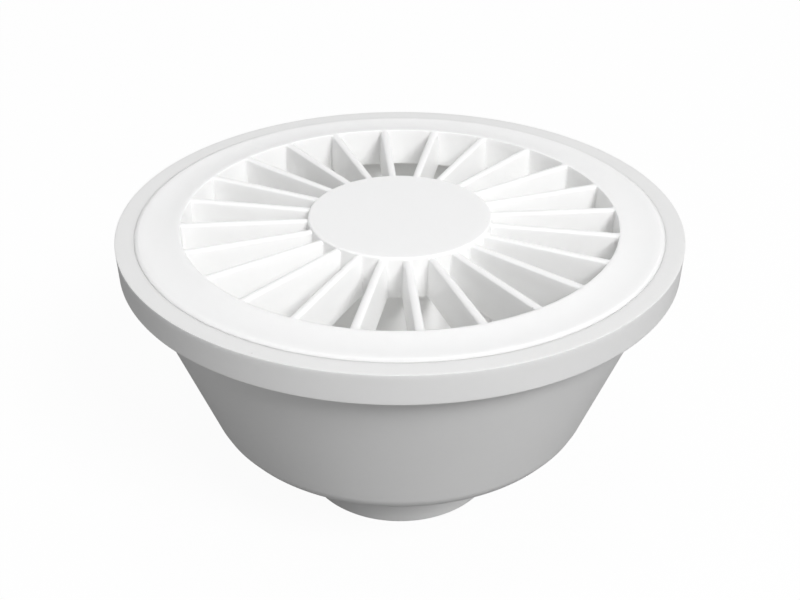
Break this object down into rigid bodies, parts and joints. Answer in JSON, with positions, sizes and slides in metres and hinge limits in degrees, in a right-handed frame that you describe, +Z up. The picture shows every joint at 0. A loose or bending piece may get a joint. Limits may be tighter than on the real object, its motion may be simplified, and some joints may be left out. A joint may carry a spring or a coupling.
{
  "type": "round floor drain",
  "caption": "White plastic round floor drain: a conical bowl with a flange and a plain outlet, a drop-in grate with radial fins, and a bell trap under its hub.",
  "frame": {"origin": "centre of the outlet's lower end, on the drain's axis", "axes": "+Z up along the drain's axis, out of the grate; the picture looks along +Y, with +X to its right"},
  "size_m": [0.11, 0.11, 0.0609],
  "materials": {
    "body_plastic": "satin moulded white, a little greyer than the grate",
    "grate_plastic": "satin moulded white",
    "bell_plastic": "satin moulded white"
  },
  "bodies": {
    "root": {"drain_body": "body_plastic", "grate": "grate_plastic", "trap_bell": "bell_plastic"}
  },
  "joints": []
}
